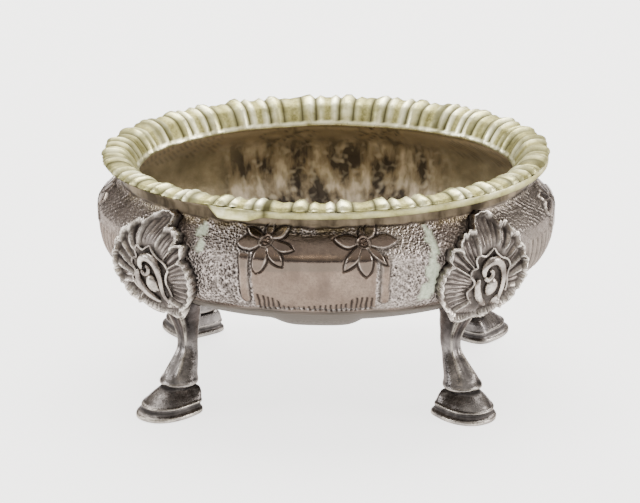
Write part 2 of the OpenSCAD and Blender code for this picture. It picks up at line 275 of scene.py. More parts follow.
def splineThrough(x, y, want):
    # smooth curve through points, with the slopes of a Catmull-Rom spline
    slope = np.gradient(y, x)
    k = np.clip(np.searchsorted(x, want) - 1, 0, len(x) - 2)
    step = x[k + 1] - x[k]
    f = (want - x[k]) / step
    return ((2 * f**3 - 3 * f**2 + 1) * y[k] + (f**3 - 2 * f**2 + f) * step * slope[k]
            + (3 * f**2 - 2 * f**3) * y[k + 1] + (f**3 - f**2) * step * slope[k + 1])


# Material building
def newFinish(name, roughness, metallic=1.0):
    finish = bpy.data.materials.new(name)
    finish.use_nodes = True
    shader = finish.node_tree.nodes["Principled BSDF"]
    shader.inputs["Metallic"].default_value = metallic
    shader.inputs["Roughness"].default_value = roughness
    if metallic:
        shader.inputs["Specular IOR Level"].default_value = 0.25
        shader.inputs["Specular Tint"].default_value = (0.6, 0.56, 0.54, 1)
    return finish, finish.node_tree, shader


def put(tree, kind, inputs=None, **settings):
    node = tree.nodes.new(kind)
    for key, value in settings.items():
        setattr(node, key, value)
    for key, value in (inputs or {}).items():
        if isinstance(value, bpy.types.NodeSocket):
            tree.links.new(value, node.inputs[key])
        else:
            node.inputs[key].default_value = value
    return node


def grain(tree, size, detail=4.0, rough=0.6, distortion=0.0):
    # noise whose grains are about the given size in millimetres
    place = put(tree, "ShaderNodeTexCoord").outputs["Object"]
    return put(tree, "ShaderNodeTexNoise", {
        "Vector": place, "Scale": 1000 / size, "Detail": detail, "Roughness": rough,
        "Distortion": distortion}).outputs["Fac"]


def cells(tree, size):
    place = put(tree, "ShaderNodeTexCoord").outputs["Object"]
    return put(tree, "ShaderNodeTexVoronoi", {"Vector": place, "Scale": 1000 / size}).outputs["Distance"]


def steps(tree, fac, stops):
    node = put(tree, "ShaderNodeValToRGB", {"Fac": fac})
    ramp = node.color_ramp
    while len(ramp.elements) < len(stops):
        ramp.elements.new(0.5)
    for element, (place, colour) in zip(ramp.elements, stops):
        element.position = place
        element.color = (*colour, 1)
    return node.outputs["Color"]


def grey(tree, fac, low, high, start=0.0, end=1.0):
    return put(tree, "ShaderNodeMapRange", {
        "Value": fac, "From Min": start, "From Max": end, "To Min": low, "To Max": high}).outputs["Result"]


def blendColours(tree, fac, a, b):
    b = b if isinstance(b, bpy.types.NodeSocket) else (*b, 1)
    return put(tree, "ShaderNodeMix", {0: fac, 6: a, 7: b}, data_type="RGBA").outputs[2]


def sums(tree, operation, a, b):
    return put(tree, "ShaderNodeMath", {0: a, 1: b}, operation=operation).outputs[0]


def painted(tree, name):
    return put(tree, "ShaderNodeAttribute", attribute_name=name).outputs["Fac"]


def over(tree, colour, tint, name, share=1.0):
    # a tint laid on where a value is painted
    return blendColours(tree, grey(tree, painted(tree, name), 0, share), colour, tint)


def overPatchy(tree, colour, tint, name, noise, *limits):
    # the same, broken up by a noise
    share = sums(tree, "MULTIPLY", painted(tree, name), grey(tree, noise, *limits))
    return blendColours(tree, share, colour, tint)


def bumps(tree, shader, layers):
    normal = None
    for height, depth in layers:
        inputs = {"Height": height, "Strength": 1.0, "Distance": depth * mm}
        if normal is not None:
            inputs["Normal"] = normal
        normal = put(tree, "ShaderNodeBump", inputs).outputs["Normal"]
    tree.links.new(normal, shader.inputs["Normal"])


def streaks(tree, size, tall):
    # noise drawn out upwards, as runs and wipes of tarnish, and inside the bowl as painted reflections
    place = put(tree, "ShaderNodeTexCoord").outputs["Object"]
    drawn = put(tree, "ShaderNodeMapping", {"Vector": place, "Scale": (1, 1, 1 / tall)}).outputs["Vector"]
    return put(tree, "ShaderNodeTexNoise", {"Vector": drawn, "Scale": 1000 / size, "Detail": 4,
                                            "Roughness": 0.5}).outputs["Fac"]


def dullDirtAndShade(tree, shader, dirtAndShade, shine, rough=0.65):
    # dirt in the hollows, and what is painted as shade, is dull and no metal
    tree.links.new(grey(tree, dirtAndShade, 1, 0.05), shader.inputs["Metallic"])
    tree.links.new(grey(tree, dirtAndShade, 0.25, 0.02), shader.inputs["Specular IOR Level"])
    shiny = put(tree, "ShaderNodeMix", {"Factor": dirtAndShade, "A": shine, "B": rough}).outputs["Result"]
    tree.links.new(shiny, shader.inputs["Roughness"])


# Finishes
def tarnishedSilver():
    finish, tree, shader = newFinish("tarnished_silver", 0.3)
    cloud = grain(tree, 7, 6, 0.62)
    speck = grain(tree, 0.45, 5, 0.75)
    fine = grain(tree, 0.16, 3, 0.7)
    patch = grain(tree, 2.2, 5, 0.65, 0.6)
    run = streaks(tree, 4, 2.4)
    pit = cells(tree, 0.42)             # punched dots of the matted ground
    ground = painted(tree, "ground")
    plain = steps(tree, cloud, [(0.3, (0.1, 0.073, 0.057)), (0.5, (0.148, 0.11, 0.087)),
                                (0.7, (0.2, 0.153, 0.122))])
    plain = blendColours(tree, grey(tree, speck, 0.5, 0, 0.36, 0.56), plain, (0.075, 0.055, 0.044))
    plain = blendColours(tree, grey(tree, run, 0.45, 0, 0.36, 0.5), plain, (0.07, 0.052, 0.044))
    # painted reflection: a dark band on the plain panel just above the belly
    plain = over(tree, plain, (0.085, 0.07, 0.058), "dark_reflection_band", 0.55)
    # painted shade and tarnish in each punched dot, painted highlights between them
    matted = steps(tree, pit, [(0.12, (0.05, 0.042, 0.037)), (0.4, (0.14, 0.12, 0.108)),
                               (0.7, (0.48, 0.42, 0.39))])
    dusky = blendColours(tree, grey(tree, patch, 0, 0.65, 0.42, 0.62), matted, (0.075, 0.064, 0.057))
    colour = blendColours(tree, ground, plain, dusky)
    # a brown stain below the rim, darkened further there as painted shade
    colour = overPatchy(tree, colour, (0.11, 0.085, 0.05), "high", patch, 0.1, 1, 0.36, 0.58)
    ended = steps(tree, cloud, [(0.36, (0.075, 0.068, 0.06)), (0.64, (0.17, 0.155, 0.14))])
    colour = over(tree, colour, ended, "ends", 0.6)
    # painted shade: the lower body and the swells under it are darker
    colour = over(tree, colour, (0.085, 0.073, 0.062), "low")
    boss = steps(tree, speck, [(0.38, (0.03, 0.024, 0.02)), (0.52, (0.095, 0.08, 0.067))])
    colour = over(tree, colour, boss, "boss")
    # painted shadow under the rim band, over streaky tarnish
    flare = steps(tree, run, [(0.4, (0.045, 0.034, 0.021)), (0.6, (0.19, 0.15, 0.1))])
    colour = over(tree, colour, flare, "flare")
    inner = steps(tree, cloud, [(0.34, (0.13, 0.106, 0.062)), (0.52, (0.21, 0.172, 0.106)),
                                (0.66, (0.3, 0.252, 0.163))])
    # tarnish runs inside, whose light streaks are painted reflections of the rim
    spots = steps(tree, streaks(tree, 3.4, 2.6), [
        (0.42, (0.06, 0.049, 0.038)), (0.49, (0.22, 0.176, 0.118)),
        (0.56, (0.36, 0.3, 0.21)), (0.67, (0.7, 0.6, 0.47))])
    inner = over(tree, inner, spots, "runs_and_reflections")
    # painted glints on the inner far wall
    inner = overPatchy(tree, inner, (0.75, 0.66, 0.5), "runs_and_reflections", grain(tree, 1.8, 1), 0, 0.45, 0.52, 0.72)
    # painted light: the inner wall under the rim is lighter, against the rim's shadow
    inner = over(tree, inner, (0.62, 0.52, 0.37), "overhang", 0.8)
    colour = over(tree, colour, inner, "inside")
    colour = over(tree, colour, (0.014, 0.01, 0.008), "hollow", 0.97)
    # bright raised edges, from wear and painted highlights
    colour = overPatchy(tree, colour, (0.5, 0.44, 0.39), "wear_and_highlight", patch, 0, 0.55, 0.38, 0.6)
    solder = steps(tree, speck, [(0.35, (0.3, 0.35, 0.25)), (0.6, (0.52, 0.57, 0.45))])
    colour = over(tree, colour, solder, "solder")
    tree.links.new(colour, shader.inputs["Base Color"])
    shine = sums(tree, "ADD", grey(tree, speck, 0.12, 0.28, 0.3, 0.7), grey(tree, ground, 0, 0.16))
    dirtAndShade = painted(tree, "hollow")
    for name, share in (("flare", 0.9), ("low", 1), ("boss", 1), ("inside", 0.5), ("solder", 1)):
        dirtAndShade = sums(tree, "MAXIMUM", dirtAndShade, grey(tree, painted(tree, name), 0, share))
    dullDirtAndShade(tree, shader, dirtAndShade, shine, 0.5)
    pits = sums(tree, "MULTIPLY", pit, ground)
    bumps(tree, shader, [(pits, 0.22), (patch, 0.05), (speck, 0.02), (fine, 0.006)])
    return finish


def wornGilt():
    finish, tree, shader = newFinish("worn_gilt", 0.3)
    cloud = grain(tree, 3, 6, 0.6)
    speck = grain(tree, 0.5, 5, 0.7)
    colour = steps(tree, cloud, [(0.32, (0.25, 0.23, 0.09)), (0.5, (0.48, 0.455, 0.22)),
                                 (0.68, (0.7, 0.675, 0.39))])
    olive = steps(tree, speck, [(0.35, (0.13, 0.115, 0.035)), (0.65, (0.36, 0.33, 0.13))])
    colour = over(tree, colour, olive, "flute", 0.85)
    # bright crowns and ridges, from rubbed gilt and painted highlights
    colour = overPatchy(tree, colour, (0.92, 0.9, 0.66), "wear_and_highlight", cloud, 0.25, 0.95, 0.35, 0.6)
    colour = over(tree, colour, (0.035, 0.03, 0.012), "hollow", 0.96)
    tree.links.new(colour, shader.inputs["Base Color"])
    dirtAndShade = sums(tree, "MAXIMUM", painted(tree, "hollow"), grey(tree, painted(tree, "flute"), 0, 0.5))
    dullDirtAndShade(tree, shader, dirtAndShade, grey(tree, speck, 0.24, 0.46, 0.3, 0.7))
    bumps(tree, shader, [(cloud, 0.08), (speck, 0.04)])
    return finish


def castLegSilver():
    finish, tree, shader = newFinish("cast_leg_silver", 0.2)
    cloud = grain(tree, 3, 6, 0.62)
    speck = grain(tree, 0.5, 5, 0.7)
    colour = steps(tree, cloud, [(0.34, (0.014, 0.012, 0.011)), (0.52, (0.032, 0.028, 0.027)),
                                 (0.7, (0.066, 0.058, 0.056))])
    bright = steps(tree, cloud, [(0.34, (0.066, 0.06, 0.057)), (0.52, (0.145, 0.132, 0.126)),
                                 (0.7, (0.27, 0.248, 0.237))])
    colour = over(tree, colour, bright, "low")
    # bright edges and ribs, from wear and painted highlights
    colour = overPatchy(tree, colour, (0.55, 0.5, 0.43), "wear_and_highlight", speck, 0.4, 1, 0.38, 0.58)
    colour = over(tree, colour, (0.012, 0.01, 0.01), "hollow", 0.9)
    tree.links.new(colour, shader.inputs["Base Color"])
    dullDirtAndShade(tree, shader, painted(tree, "hollow"), grey(tree, speck, 0.2, 0.38, 0.3, 0.7))
    bumps(tree, shader, [(cloud, 0.16), (speck, 0.03)])
    return finish


def shellSilver():
    finish, tree, shader = newFinish("shell_silver", 0.28)
    cloud = grain(tree, 3, 6, 0.62)
    speck = grain(tree, 0.5, 5, 0.7)
    colour = steps(tree, cloud, [(0.34, (0.075, 0.063, 0.056)), (0.52, (0.17, 0.146, 0.132)),
                                 (0.7, (0.34, 0.3, 0.275))])
    # bright rolls and ridges, from wear and painted highlights
    colour = overPatchy(tree, colour, (0.85, 0.79, 0.7), "wear_and_highlight", speck, 0.3, 1, 0.38, 0.58)
    colour = over(tree, colour, (0.02, 0.016, 0.014), "hollow", 0.95)
    tree.links.new(colour, shader.inputs["Base Color"])
    dullDirtAndShade(tree, shader, painted(tree, "hollow"), grey(tree, speck, 0.16, 0.36, 0.3, 0.7))
    bumps(tree, shader, [(cloud, 0.1), (speck, 0.04)])
    return finish


finishes = {
    "tarnished_silver": tarnishedSilver(),
    "worn_gilt": wornGilt(),
    "cast_leg_silver": castLegSilver(),
    "shell_silver": shellSilver(),
}
print("finishes mixed:", len(finishes))

# The raised bowl: one sheet, from the middle of its underside out, up, over the edge and down inside
bowlPiece = {
    "around": 364,
    "rings": {"under": 15, "belt": 36, "shoulder": 20, "flare": 5, "edge": 3, "innerFlare": 5,
              "innerShoulder": 12, "innerLow": 22},
    "beltDepth": 12.0,          # how far the close rows reach below the belly, along the wall
    "reverse": 0.8,             # how much of the chased relief shows inside, turned round
    "workBottom": -11.8, "workTop": 7.4,    # limits of the chased belt, along the wall from the belly
    # faces are cut finer up to here from the middle of a long side and of an end
    "fineLong": 19.5, "fineShort": 13.0, "fineTop": 7.2,
    # and finer again: flowers from and to, lowest; fringe to, from and up to
    "flowers": (2.6, 15.4, -2.8), "fringe": (12, -10.6, -6.2),
    "endsFrom": 24.0, "leftEnd": 0.5,       # where the ends begin to darken, and how much at the left
    # where the brown stain with painted shade below the rim, the painted shadow under the band and the
    # painted shade underneath begin, and where the painted dark reflection band lies
    "highFrom": 4.2, "flareFrom": 6.7, "lowFrom": -9.6, "darkReflectionFrom": -1.8, "darkReflectionTo": 2.4,
}

# The chased work, in millimetres across from the middle of a panel and up from the belly
chasedWork = {
    "flowerOut": 9.0, "flowerUp": 3.9, "eye": 1.15,
    # petals: tip across, tip up, width
    "leftPetals": [(0.3, 3.9, 2.1), (4.2, 3.1, 2.1), (5.3, -1.5, 2.3), (3.4, -4.6, 2.4), (-1.3, -6.1, 2.9),
                   (-5.5, -0.7, 3.1), (-4.4, 2.4, 2.0)],
    "rightPetals": [(-0.2, 2.9, 1.5), (2.6, 3.7, 2.3), (6.6, 0.1, 3.1), (4.0, -4.4, 1.6), (0.1, -6.5, 2.8),
                    (-3.7, -5.2, 2.4), (-5.4, 0.6, 2.6)],
    "plainSide": 11.3, "plainTop": 5.6, "plainBottom": -9.6,
    "stalkOut": 12.75, "stalkHalf": 0.9, "stalkTop": 1.5, "stalkBottom": -8.4,
    "dashOut": 14.5, "dashStep": 0.85, "dashes": 4, "dashLong": 1.5, "dashTop": -0.6, "dashBottom": -8.3,
    "ridgeOut": 18.0, "ridgeTop": 1.8, "ridgeBottom": -6.4,
    "fringeStep": 0.95, "fringeTop": -8.3, "fringeLong": 1.9, "fringeBottom": -10.3, "fringeEnd": 11.0,
    "scallopUp": 5.75, "scallopEnd": 6.6,
    "neckLine": 6.9, "mouldingLine": -11.2, "groundBottom": -10.2,
    "endUp": 1.5, "endPetals": 8, "endLong": 6.6, "endWide": 3.0, "endGround": 0.45,
    "hatchOut": 6.5, "hatchStep": 1.25, "hatchTop": 6.4, "hatchBottom": 0.2,
    "reedEnd": 17.0, "reedStep": 1.7, "reedTop": -1.8, "reedBottom": -9.4,
}


def petal(p, w, tip):
    # millimetres inside one petal of a flower whose middle is at 0, 0
    length = math.hypot(tip[0], tip[1])
    along = (p * tip[0] + w * tip[1]) / length
    off = (p * tip[1] - w * tip[0]) / length
    share = np.clip(along / length, 0, 1)
    half = tip[2] / 2 * np.clip(np.sin(np.pi * share ** 1.15), 0, 1) ** 0.75
    past = np.maximum(np.maximum(along - length, -along), 0)
    return np.where(past > 0, -np.hypot(past, off), half - np.abs(off))


def flower(p, w, petals, eye):
    # height, incised lines, bright edges and covered place of one flower
    fields = np.sort(np.stack([petal(p, w, tip) for tip in petals]), axis=0)
    best, second = fields[-1], fields[-2]
    radius = np.hypot(p, w)
    outside = smooth((radius - eye) / 0.25)
    between = bell((best - second) / 0.34) * smooth((second + 0.2) / 0.3)
    line = np.maximum(bell((best + 0.04) / 0.34), between) * outside
    edge = bell((best - 0.3) / 0.18) * outside
    raised = smooth((best + 0.05) / 0.5)
    ring = bell((radius - eye) / 0.3)
    seeds = bell((radius - 0.6) / 0.45) * (0.5 + 0.5 * np.cos(5 * np.arctan2(w, p)))
    height = 0.26 * raised * outside - 0.26 * line + 0.3 * ring + 0.22 * seeds * (radius < eye)
    eyeLine = bell((radius - eye + 0.32) / 0.2) + bell((radius - eye - 0.32) / 0.2)
    cover = np.maximum(raised, radius < eye + 0.2)
    return height, np.maximum(line, eyeLine), np.maximum(edge, 0.7 * ring), cover


def matted(w):
    # how much of the punched ground shows between its lower edge and the neck
    return smooth((w - chasedWork["groundBottom"]) / 0.5) * smooth((chasedWork["neckLine"] - w) / 0.4)


def longPanel(p, w):
    form = chasedWork
    out = np.abs(p)
    heights, lines, edges, covers = zip(
        flower(p + form["flowerOut"], w - form["flowerUp"], form["leftPetals"], form["eye"]),
        flower(p - form["flowerOut"], w - form["flowerUp"], form["rightPetals"], form["eye"]))
    cover = np.maximum(*covers)
    bare = 1 - cover
    plain = smooth((form["plainSide"] - out) / 0.3) * smooth((form["plainTop"] - w) / 0.3)
    plain = plain * smooth((w - form["plainBottom"]) / 0.4)
    stalkEnd = np.maximum(form["stalkBottom"] + form["stalkHalf"] - w, 0)
    stalk = np.hypot(out - form["stalkOut"], stalkEnd)
    below = smooth((form["stalkTop"] - w) / 0.4)
    band = smooth((form["stalkHalf"] - stalk) / 0.2) * below
    bandLine = bell((stalk - form["stalkHalf"]) / 0.32) * below
    column = np.clip(np.round((out - form["dashOut"]) / form["dashStep"]), 0, form["dashes"] - 1)
    dash = bell((out - form["dashOut"] - column * form["dashStep"]) / 0.38)
    dash = dash * smooth(0.4 + np.sin(2 * np.pi * (w / form["dashLong"] + column * 0.37)))
    dash = dash * smooth((w - form["dashBottom"]) / 0.4) * smooth((form["dashTop"] - w) / 0.6)
    ridge = bell((out - form["ridgeOut"]) / 0.55)
    ridge = ridge * smooth((w - form["ridgeBottom"]) / 0.8) * smooth((form["ridgeTop"] - w) / 0.8)
    number = np.round(p / form["fringeStep"])
    sway = np.sin(number * 12.9) * 0.5
    top = form["fringeTop"] + form["fringeLong"] * smooth((out - 5.5) / 2) + 0.7 * sway
    stroke = bell((p - (number + 0.25 * sway) * form["fringeStep"]) / 0.38)
    stroke = stroke * smooth((w - form["fringeBottom"] + 0.3 * sway) / 0.3) * smooth((top - w) / 0.4)
    stroke = stroke * (out < form["fringeEnd"])
    scallop = form["scallopUp"] + 0.3 * np.abs(np.cos(np.pi * p / form["fringeStep"]))
    scallop = bell((w - scallop) / 0.22) * (out < form["scallopEnd"])
    ground = np.clip(1 - plain - band, 0, 1) * bare * matted(w)
    line = np.maximum.reduce([lines[0], lines[1], bare * bandLine, bare * dash, bare * scallop, stroke])
    height = heights[0] + heights[1] + bare * (-0.13 * ground + 0.1 * band + 0.3 * ridge)
    height = height - 0.18 * bare * np.maximum.reduce([bandLine, dash, scallop]) - 0.2 * stroke
    bandEdge = 0.4 * bare * bell((stalk - 0.6) / 0.2) * below
    edge = np.maximum.reduce([edges[0], edges[1], 0.6 * ridge, bandEdge])
    return height, line, edge, ground


def endPanel(p, w):
    form = chasedWork
    petals = []
    for k in range(form["endPetals"]):
        angle = 2 * np.pi * (k + 0.15) / form["endPetals"]
        length = form["endLong"] * (1 - 0.18 * math.sin(angle))
        petals.append((length * math.cos(angle), 0.78 * length * math.sin(angle), form["endWide"]))
    height, line, edge, cover = flower(p, w - form["endUp"], petals, form["eye"] * 1.1)
    bare = 1 - cover
    out = np.abs(p)
    hatched = smooth((out - form["hatchOut"]) / 0.6) * bare
    hatched = hatched * smooth((w - form["hatchBottom"]) / 0.5) * smooth((form["hatchTop"] - w) / 0.5)
    hatch = bell(((out - 0.9 * w) / form["hatchStep"] % 1 - 0.5) / 0.3)
    reeded = smooth(form["reedEnd"] - out) * bare
    reeded = reeded * smooth((form["reedTop"] - w) / 0.5) * smooth((w - form["reedBottom"]) / 0.6)
    reed = np.abs(np.cos(np.pi * p / form["reedStep"]))
    ground = form["endGround"] * bare * (1 - 0.7 * reeded) * matted(w)
    height = height - 0.2 * ground - 0.2 * hatched * hatch + 0.3 * reeded * (reed - 0.5)
    line = np.maximum.reduce([line, hatched * hatch * 0.8, reeded * smooth((0.35 - reed) / 0.3)])
    edge = np.maximum(edge, 0.4 * reeded * smooth((reed - 0.85) / 0.15))
    return height, line, edge, ground


def panelPlaces(t):
    # millimetres across from the middle of the nearer long side, and of the nearer end
    long = (t - np.where(np.sin(t) < 0, 1.5, 0.5) * np.pi) * bowlForm["halfLength"]
    return long, ((t + np.pi / 2) % np.pi - np.pi / 2) * bowlForm["halfWidth"]


def chased(t, side, end):
    # all the work round the bowl, blended where the shells cover it
    across, short = panelPlaces(t)
    onLong = smooth((25 - np.abs(across)) / 2)
    fields = [a * onLong + b * (1 - onLong) for a, b in zip(longPanel(across, side), endPanel(short, end))]
    neck = bell((side - chasedWork["neckLine"]) / 0.3)
    moulding = chasedWork["mouldingLine"]
    fields[0] = fields[0] - 0.15 * neck + 0.16 * bell((side - moulding) / 0.45)
    fields[1] = np.maximum(fields[1], np.maximum(0.8 * neck, 0.8 * bell((side - moulding - 0.6) / 0.25)))
    return fields


def bowlProfile(wall):
    # half length, half width and height, from the middle of the underside up to the flared edge
    low = np.stack(lowRow(np.linspace(np.pi / 2, 0, 900), wall), -1)
    up = np.stack(shoulderRow(np.linspace(bowlForm["bellyZ"], bowlForm["neckZ"], 200), wall), -1)
    flare = np.stack(flareRow(np.linspace(0, np.pi / 2, 80), wall), -1)
    return low, up, flare


def arcAlong(rows, column):
    return np.concatenate([[0], np.cumsum(np.hypot(np.diff(rows[:, column]), np.diff(rows[:, 2])))])


def bowlRows():
    # a table of rows by ring number: half length, half width, height, arc from the belly at side and end
    count = bowlPiece["rings"]
    low, up, flare = bowlProfile(0)
    outer = np.vstack([low, up[1:], flare[1:]])
    side, end = arcAlong(outer, 1), arcAlong(outer, 0)
    belly, neck = len(low) - 1, len(low) + len(up) - 2
    marks = np.cumsum([0, count["under"], count["belt"], count["shoulder"], count["flare"]])
    at = np.interp(side, [0, side[belly] - bowlPiece["beltDepth"], side[belly], side[neck], side[-1]], marks)
    table = [np.column_stack([at, outer, side - side[belly], end - end[belly]])]
    corner = np.array([bowlForm["edgeHalfLength"], bowlForm["edgeHalfWidth"], bowlForm["edgeZ"]])
    lowIn, downIn, flareIn = (rows[::-1] for rows in bowlProfile(bowlForm["wall"]))
    rim = marks[-1] + np.array([1.0])
    table.append(np.column_stack([rim, corner[None], [[side[-1] - side[belly], end[-1] - end[belly]]]]))
    begin = marks[-1] + count["edge"]
    innerRows = np.vstack([flareIn, downIn[1:], lowIn[1:]])
    sideIn, endIn = arcAlong(innerRows, 1), arcAlong(innerRows, 0)
    neckIn, bellyIn = len(flareIn) - 1, len(flareIn) + len(downIn) - 2
    marksIn = begin + np.cumsum([0, count["innerFlare"], count["innerShoulder"], count["innerLow"]])
    atIn = np.interp(sideIn, [0, sideIn[neckIn], sideIn[bellyIn], sideIn[-1]], marksIn)
    table.append(np.column_stack([atIn, innerRows, sideIn[bellyIn] - sideIn, endIn[bellyIn] - endIn]))
    return np.vstack(table), begin


def evenTurn(turn):
    # the bowl's own angle for even steps round its belly
    dense = np.linspace(0, 2 * np.pi, 3601)
    step = np.hypot(bowlForm["halfLength"] * np.sin(dense), bowlForm["halfWidth"] * np.cos(dense))
    arc = np.concatenate([[0], np.cumsum((step[1:] + step[:-1]) / 2)])
    return np.interp(turn / (2 * np.pi), arc / arc[-1], dense)


def panelRise(points):
    s = bowlForm
    low = 1 - smooth((points[:, 2] - s["baseZ"]) / (s["bellyZ"] - s["baseZ"]))
    flatTopped = np.clip(1 - np.abs(2 * points[:, 0] / s["swellWidth"]) ** 5, 0, 1)
    return s["swell"] * flatTopped * low * bell((np.abs(points[:, 1]) / s["halfWidth"] - 0.58) / 0.42)


# Pale smears of solder beside the shells: angle round the bowl, up from the belly, half width, half height
smears = [(300.8, 2.5, 0.8, 3.4), (300.2, -3.0, 1.3, 2.6), (299.0, -6.6, 1.5, 2.0), (238.6, 4.6, 1.2, 1.3),
          (239.6, 1.6, 0.8, 1.3), (120.5, 2.0, 1.0, 2.4), (59.6, -2.4, 1.0, 2.2)]


def solderSmears(t, side):
    total = 0
    for angle, up, wide, tall in smears:
        p = (t - math.radians(angle)) * bowlForm["halfLength"]
        reach = np.hypot(p / wide, (side - up) / tall) + 0.18 * np.sin(3 * p + 2 * side)
        total = total + smooth((1.1 - reach) / 0.2)
    return np.clip(total, 0, 1)


def makeBowl():
    form = bowlPiece
    total = sum(form["rings"].values())
    piece = addBall("raised_bowl", form["around"], total)
    table, innerFrom = bowlRows()

    def places(points):
        turn, ring = ballPlace(points, total)
        return [evenTurn(turn), ring] + [np.interp(ring, table[:, 0], table[:, k]) for k in range(1, 6)]

    def faceMiddles():
        flat = np.empty(len(piece.data.polygons) * 3)
        piece.data.polygons.foreach_get("center", flat)
        t, ring, _, _, _, side, _ = places(flat.reshape(-1, 3))
        long, short = (np.abs(place) for place in panelPlaces(t))
        belt = (ring < innerFrom) & (side > form["workBottom"]) & (side < form["fineTop"])
        return t, long, short, side, belt

    _, long, short, _, belt = faceMiddles()
    subdivideWhere(piece, belt & ((long < form["fineLong"]) | (short < form["fineShort"])))
    t, long, _, side, belt = faceMiddles()
    nearest, farthest, lowest = form["flowers"]
    flowers = (long > nearest) & (long < farthest) & (side > lowest)
    farthest, lowest, highest = form["fringe"]
    fringe = (long < farthest) & (side > lowest) & (side < highest)
    subdivideWhere(piece, belt & (flowers | fringe) & (np.sin(t) < 0))
    t, ring, a, b, z, side, end = places(readPoints(piece))
    points = np.column_stack([a * np.cos(t), b * np.sin(t), z])
    rise = panelRise(points)
    outward = np.clip(np.abs(points[:, 1]) / bowlForm["halfWidth"], 0, 1) ** 2
    points[:, 1] += rise * np.sign(points[:, 1]) * outward
    points[:, 2] += rise * (outward - 1)
    inside = smooth((ring - innerFrom + 1) / 2)
    wobble = np.stack([ripple(points, 3.5, seed) for seed in (41, 42)]) * 0.13      # chased by hand
    height, line, edge, ground = chased(
        t + wobble[0] / bowlForm["halfLength"], side + wobble[1], end + wobble[1])
    within = smooth((side - form["workBottom"]) / 0.6) * smooth((form["workTop"] - side) / 0.4)
    relief = height * within * (1 - inside * (1 + form["reverse"]))
    relief = relief + 0.05 * ripple(points, 9, 3) * within
    writePoints(piece, points)
    normals = np.empty(len(points) * 3)
    piece.data.vertex_normals.foreach_get("vector", normals)
    writePoints(piece, points + normals.reshape(-1, 3) * relief[:, None])
    outside = 1 - inside
    outer = within * outside
    paint(piece, "inside", inside)
    paint(piece, "hollow", line * outer + 0.6 * line * within * inside)
    # raised edges are bright from wear and painted highlights, and the ground beside the right flower is
    # painted bright as a painted highlight
    sparkle = ground * bell((points[:, 0] - 14) / 6) * (points[:, 1] < 0)
    paint(piece, "wear_and_highlight", np.maximum(edge, 0.8 * sparkle) * outer)
    smeared = solderSmears(t, side) * outer
    paint(piece, "ground", ground * outer * (1 - smeared))
    wavy = side + 0.35 * ripple(points, 5, 21)
    # painted reflection: the dark band just above the belly, with a wavy lower edge
    dark_reflection_band = smooth((wavy - form["darkReflectionFrom"]) / 0.5) * smooth((form["darkReflectionTo"] - wavy) / 3)
    paint(piece, "dark_reflection_band", dark_reflection_band * outside)
    past = np.abs(points[:, 0]) - form["endsFrom"]
    paint(piece, "ends", smooth(past / 9) * outside * np.where(points[:, 0] < 0, form["leftEnd"], 1))
    # tarnish runs and painted reflections on the inner far wall
    paint(piece, "runs_and_reflections", smooth(-past / 8) * smooth((12 - np.abs(side + 5)) / 5) * inside)
    # brown stain below the rim, which also serves as painted shade there
    paint(piece, "high", smooth((side - form["highFrom"]) / 2.4) * outside)
    # painted shadow on the flare under the rim band
    paint(piece, "flare", smooth((side - form["flareFrom"]) / 0.5) * outside)
    # painted shade on the lower body and on the swells under it
    paint(piece, "low", smooth((form["lowFrom"] - wavy) / 1.6) * outside)
    paint(piece, "boss", smooth((rise - 0.35) / 0.5) * outside)
    # painted light on the inner wall under the rim
    paint(piece, "overhang", smooth((side + 1) / 5) * inside)
    paint(piece, "solder", smeared)
    finishPiece(piece, "tarnished_silver", ["bowl"])
    print("bowl raised:", len(piece.data.polygons), "faces")


makeBowl()

# The gadroon border: lobes and flutes cast in one ring, turned down inside the mouth
borderPiece = {
    "lobes": 34, "perLobe": 28, "around": 40,
    # place in from the outer edge, height over the seat, and how much the lobes show there
    "section": [(0, 0.05, 0.5), (0.05, 0.5, 0.9), (0.35, 0.95, 1), (1.1, 1.28, 1), (2.2, 1.42, 1),
                (3.2, 1.32, 1), (4.1, 0.96, 1), (4.95, 0.32, 1), (5.65, -0.55, 0.95), (6.25, -1.5, 0.8),
                (6.65, -2.5, 0.6), (6.9, -3.2, 0.3), (6.75, -3.25, 0.3), (6.2, -2.4, 0.8), (5.4, -1.1, 0.9),
                (4.6, -0.15, 0.8), (3.2, 0.02, 0), (1.4, 0.02, 0), (0.3, 0.02, 0)],
    # from the middle of a lobe to half way to the next, and the height there
    "profile": [(0, 1), (0.05, 0.97), (0.1, 0.84), (0.135, 0.6), (0.16, 0.2), (0.185, 0), (0.215, 0),
                (0.24, 0.3), (0.265, 0.68), (0.295, 0.76), (0.325, 0.6), (0.36, 0.38), (0.43, 0.24),
                (0.5, 0.2)],
    "depth": 1.05, "scallop": 0.5, "lobeMiddle": 0.2,
    # limits of the shift, the breadth and the height of a lobe, which differ by hand
    "uneven": [(-0.04, 0.04), (0.88, 1.1), (0.82, 1.05)],
    "lean": 0.35,               # the right end of the rim stands this much higher
}


def lobeHeight(f):
    # one unit of the border: f from -0.5 to 0.5 with the lobe's middle at 0
    places, heights = np.array(borderPiece["profile"]).T
    return np.interp(np.abs(f), places, heights)


def rimLean(points):
    return borderPiece["lean"] * points[:, 0] / rimForm["halfLength"]


